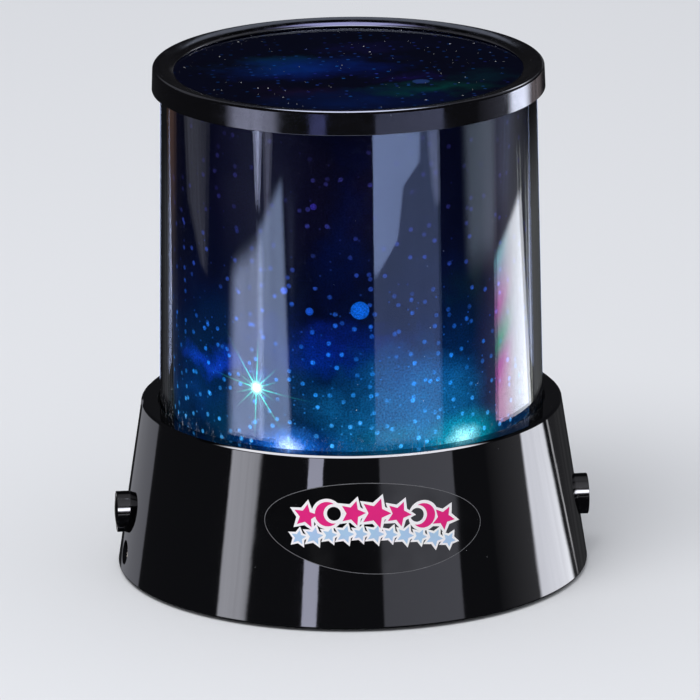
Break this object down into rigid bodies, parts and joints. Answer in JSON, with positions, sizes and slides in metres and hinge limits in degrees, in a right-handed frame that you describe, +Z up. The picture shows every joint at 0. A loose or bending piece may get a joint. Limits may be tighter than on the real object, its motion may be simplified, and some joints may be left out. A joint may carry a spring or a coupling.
{
  "type": "star night light projector",
  "caption": "Cylindrical night light that throws stars: a clear film-lined cover lifts off a domed, button-operated conical base.",
  "frame": {"origin": "on the table, under the middle of the lamp", "axes": "+Z up, front with the label towards -Y, side buttons along X, third button towards +Y"},
  "size_m": [0.1168, 0.1158, 0.1255],
  "materials": {
    "black_chrome": "ABS with a dark chrome plating, fine brushed",
    "button_chrome": "ABS with a bright dark-chrome plating, polished",
    "clear_acrylic": "clear moulded acrylic, polished",
    "star_film": "printed film, night-sky blue with pale dots",
    "label_film": null,
    "black_plastic": "moulded, fine satin",
    "steel_screw": "zinc plated",
    "circuit_board": "green solder mask",
    "wire_insulation": "PVC insulation",
    "rubber": "moulded rubber",
    "cell_jacket": "metal can in a plain printed jacket",
    "spring_steel": "nickel-plated spring steel",
    "white_nylon": "moulded nylon",
    "chip_epoxy": "moulded epoxy",
    "capacitor_sleeve": "shrink sleeve",
    "lens_white": "clear epoxy lens",
    "lens_red": "tinted epoxy lens",
    "lens_green": "tinted epoxy lens",
    "lens_blue": "tinted epoxy lens",
    "contact_metal": "nickel plated"
  },
  "bodies": {
    "base": {"base_housing": "black_chrome", "front_label": "label_film", "projection_dome": "black_plastic", "dome_screws": "steel_screw", "light_board": "circuit_board", "light_board_screws": "steel_screw", "light_wires": "wire_insulation", "bottom_plate": "black_plastic", "bottom_screws": "steel_screw", "rubber_feet": "rubber", "battery_cells": "cell_jacket", "battery_springs": "spring_steel", "battery_contacts": "spring_steel", "control_board": "circuit_board", "control_board_screws": "steel_screw", "control_chip": "chip_epoxy", "control_capacitors": "capacitor_sleeve", "wire_header": "white_nylon", "dc_jack": "contact_metal", "dc_jack_pin": "contact_metal", "light_white": "lens_white", "light_red": "lens_red", "light_green": "lens_green", "light_blue": "lens_blue", "button_left_spring": "spring_steel", "button_left_switch": "black_plastic", "button_right_spring": "spring_steel", "button_right_switch": "black_plastic", "button_back_spring": "spring_steel", "button_back_switch": "black_plastic"},
    "cover": {"clear_cover": "clear_acrylic", "star_film_sleeve": "star_film", "star_film_disc": "star_film", "top_ring": "black_chrome"},
    "battery_door": {"battery_door": "black_plastic", "battery_door_screw": "steel_screw"},
    "button_left": {"button_left_cap": "button_chrome", "button_left_stem": "white_nylon"},
    "button_right": {"button_right_cap": "button_chrome", "button_right_stem": "white_nylon"},
    "button_back": {"button_back_cap": "button_chrome", "button_back_stem": "white_nylon"}
  },
  "joints": [
    {"name": "cover_lift", "type": "slide", "parent": "base", "child": "cover", "axis": [0, 0, 1], "range_m": [0, 0.06]},
    {"name": "button_left_press", "type": "slide", "parent": "base", "child": "button_left", "axis": [1, 0, 0], "range_m": [0, 0.0025], "stiffness_N_per_m": 400, "springref_m": -0.002, "deforming": ["button_left_spring"]},
    {"name": "button_right_press", "type": "slide", "parent": "base", "child": "button_right", "axis": [-1, 0, 0], "range_m": [0, 0.0025], "stiffness_N_per_m": 400, "springref_m": -0.002, "deforming": ["button_right_spring"]},
    {"name": "button_back_press", "type": "slide", "parent": "base", "child": "button_back", "axis": [0, -1, 0], "range_m": [0, 0.0025], "stiffness_N_per_m": 400, "springref_m": -0.002, "deforming": ["button_back_spring"]},
    {"name": "battery_door_hinge", "type": "hinge", "parent": "base", "child": "battery_door", "pos_m": [0, -0.0304, 0.002], "axis": [-1, 0, 0], "range_deg": [0, 90]}
  ]
}
